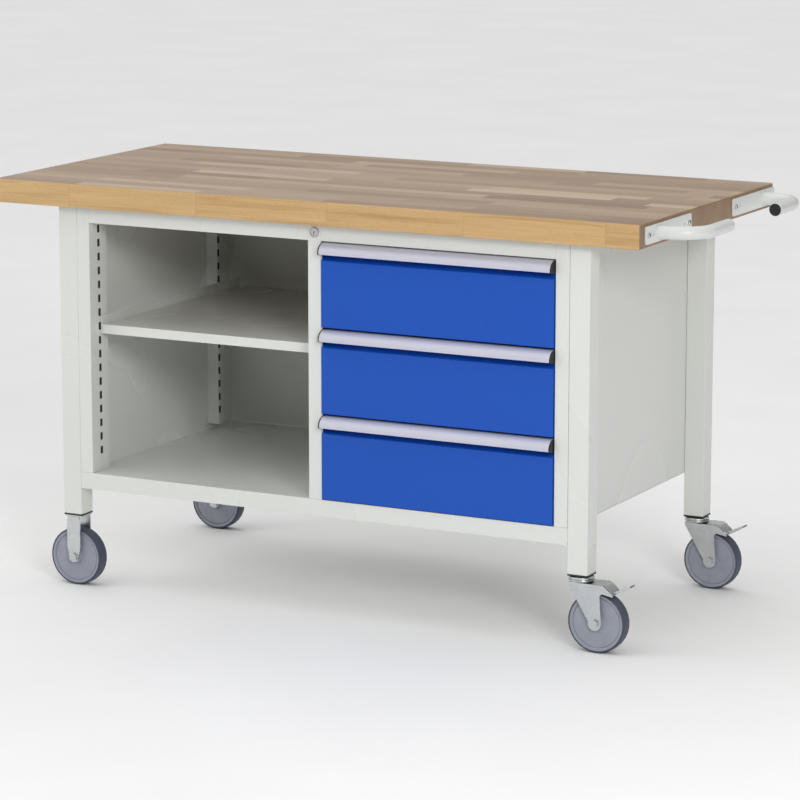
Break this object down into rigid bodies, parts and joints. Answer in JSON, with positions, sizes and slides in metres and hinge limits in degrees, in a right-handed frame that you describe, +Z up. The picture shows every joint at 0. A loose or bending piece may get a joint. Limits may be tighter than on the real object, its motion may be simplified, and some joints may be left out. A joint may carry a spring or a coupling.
{
  "type": "mobile workbench",
  "caption": "Mobile workbench with a thick beech top, an open compartment with a shelf, lockable drawers with full-width handles, push handles, and fixed and braked swivel casters.",
  "frame": {"origin": "centre of the bounding box at floor level", "axes": "+X along the worktop towards the push handles, +Y from the front to the back, +Z up"},
  "size_m": [1.6036, 0.7, 0.88],
  "materials": {
    "beech": "oiled glued staves",
    "light_grey_paint": "fine satin powder coat",
    "handle_paint": "fine satin powder coat",
    "blue_paint": "fine satin powder coat",
    "aluminium": "satin anodised",
    "zinc": "bright zinc plate",
    "chrome": "polished",
    "black_plastic": "fine matt",
    "wheel_plastic": "moulded",
    "tread_rubber": "matt elastomer"
  },
  "bodies": {
    "bench": {"worktop": "beech", "leg_front_left": "light_grey_paint", "leg_cap_front_left": "black_plastic", "leg_front_right": "light_grey_paint", "leg_cap_front_right": "black_plastic", "leg_rear_left": "light_grey_paint", "leg_cap_rear_left": "black_plastic", "leg_rear_right": "light_grey_paint", "leg_cap_rear_right": "black_plastic", "side_panel_left": "light_grey_paint", "side_panel_right": "light_grey_paint", "partition": "light_grey_paint", "top_rail_left": "light_grey_paint", "top_rail_right": "light_grey_paint", "floor_panel": "light_grey_paint", "back_panel": "light_grey_paint", "upright_front_left": "light_grey_paint", "upright_rear_left": "light_grey_paint", "shelf": "light_grey_paint", "runner_frame_left": "zinc", "runner_frame_right": "zinc", "lock_housing": "chrome", "push_handle_front": "handle_paint", "handle_plug_front": "black_plastic", "fixed_fork_front": "zinc", "swivel_head_front": "zinc", "push_handle_rear": "handle_paint", "handle_plug_rear": "black_plastic", "fixed_fork_rear": "zinc", "swivel_head_rear": "zinc"},
    "drawer_1": {"drawer_1_front": "blue_paint", "drawer_1_handle": "aluminium", "drawer_1_tray": "light_grey_paint"},
    "slides_1": {"running_channel_1_left": "zinc", "running_channel_1_right": "zinc"},
    "drawer_2": {"drawer_2_front": "blue_paint", "drawer_2_handle": "aluminium", "drawer_2_tray": "light_grey_paint"},
    "slides_2": {"running_channel_2_left": "zinc", "running_channel_2_right": "zinc"},
    "drawer_3": {"drawer_3_front": "blue_paint", "drawer_3_handle": "aluminium", "drawer_3_tray": "light_grey_paint"},
    "slides_3": {"running_channel_3_left": "zinc", "running_channel_3_right": "zinc"},
    "lock": {"lock_barrel": "chrome"},
    "wheel_front_left": {"wheel_core_front_left": "wheel_plastic", "wheel_tread_front_left": "tread_rubber"},
    "swivel_front": {"swivel_fork_front": "zinc"},
    "wheel_front_right": {"wheel_core_front_right": "wheel_plastic", "wheel_tread_front_right": "tread_rubber"},
    "brake_front": {"brake_pedal_front": "zinc"},
    "wheel_rear_left": {"wheel_core_rear_left": "wheel_plastic", "wheel_tread_rear_left": "tread_rubber"},
    "swivel_rear": {"swivel_fork_rear": "zinc"},
    "wheel_rear_right": {"wheel_core_rear_right": "wheel_plastic", "wheel_tread_rear_right": "tread_rubber"},
    "brake_rear": {"brake_pedal_rear": "zinc"}
  },
  "joints": [
    {"name": "drawer_1_slide", "type": "slide", "parent": "bench", "child": "drawer_1", "axis": [0, -1, 0], "range_m": [0, 0.45]},
    {"name": "slides_1_travel", "type": "slide", "parent": "bench", "child": "slides_1", "axis": [0, -1, 0], "range_m": [0, 0.225]},
    {"name": "drawer_2_slide", "type": "slide", "parent": "bench", "child": "drawer_2", "axis": [0, -1, 0], "range_m": [0, 0.45]},
    {"name": "slides_2_travel", "type": "slide", "parent": "bench", "child": "slides_2", "axis": [0, -1, 0], "range_m": [0, 0.225]},
    {"name": "drawer_3_slide", "type": "slide", "parent": "bench", "child": "drawer_3", "axis": [0, -1, 0], "range_m": [0, 0.45]},
    {"name": "slides_3_travel", "type": "slide", "parent": "bench", "child": "slides_3", "axis": [0, -1, 0], "range_m": [0, 0.225]},
    {"name": "lock_turn", "type": "hinge", "parent": "bench", "child": "lock", "pos_m": [-0.03825, -0.321, 0.812], "axis": [0, 1, 0], "range_deg": [0, 90]},
    {"name": "wheel_front_left_spin", "type": "hinge", "parent": "bench", "child": "wheel_front_left", "pos_m": [-0.63575, -0.2985, 0.0625], "axis": [0, 1, 0], "continuous": true},
    {"name": "swivel_front_turn", "type": "hinge", "parent": "bench", "child": "swivel_front", "pos_m": [0.55925, -0.2985, 0.143], "axis": [0, 0, 1], "continuous": true},
    {"name": "wheel_front_right_spin", "type": "hinge", "parent": "swivel_front", "child": "wheel_front_right", "pos_m": [0.59775, -0.2985, 0.0625], "axis": [0, 1, 0], "continuous": true},
    {"name": "brake_front_press", "type": "hinge", "parent": "swivel_front", "child": "brake_front", "pos_m": [0.59925, -0.2985, 0.136], "axis": [0, 1, 0], "range_deg": [0, 6]},
    {"name": "wheel_rear_left_spin", "type": "hinge", "parent": "bench", "child": "wheel_rear_left", "pos_m": [-0.63575, 0.2985, 0.0625], "axis": [0, 1, 0], "continuous": true},
    {"name": "swivel_rear_turn", "type": "hinge", "parent": "bench", "child": "swivel_rear", "pos_m": [0.55925, 0.2985, 0.143], "axis": [0, 0, 1], "continuous": true},
    {"name": "wheel_rear_right_spin", "type": "hinge", "parent": "swivel_rear", "child": "wheel_rear_right", "pos_m": [0.59775, 0.2985, 0.0625], "axis": [0, 1, 0], "continuous": true},
    {"name": "brake_rear_press", "type": "hinge", "parent": "swivel_rear", "child": "brake_rear", "pos_m": [0.59925, 0.2985, 0.136], "axis": [0, 1, 0], "range_deg": [0, 6]}
  ],
  "couplings": [
    {"joint": "slides_1_travel", "follows": "drawer_1_slide", "ratio": 0.5},
    {"joint": "slides_2_travel", "follows": "drawer_2_slide", "ratio": 0.5},
    {"joint": "slides_3_travel", "follows": "drawer_3_slide", "ratio": 0.5}
  ]
}
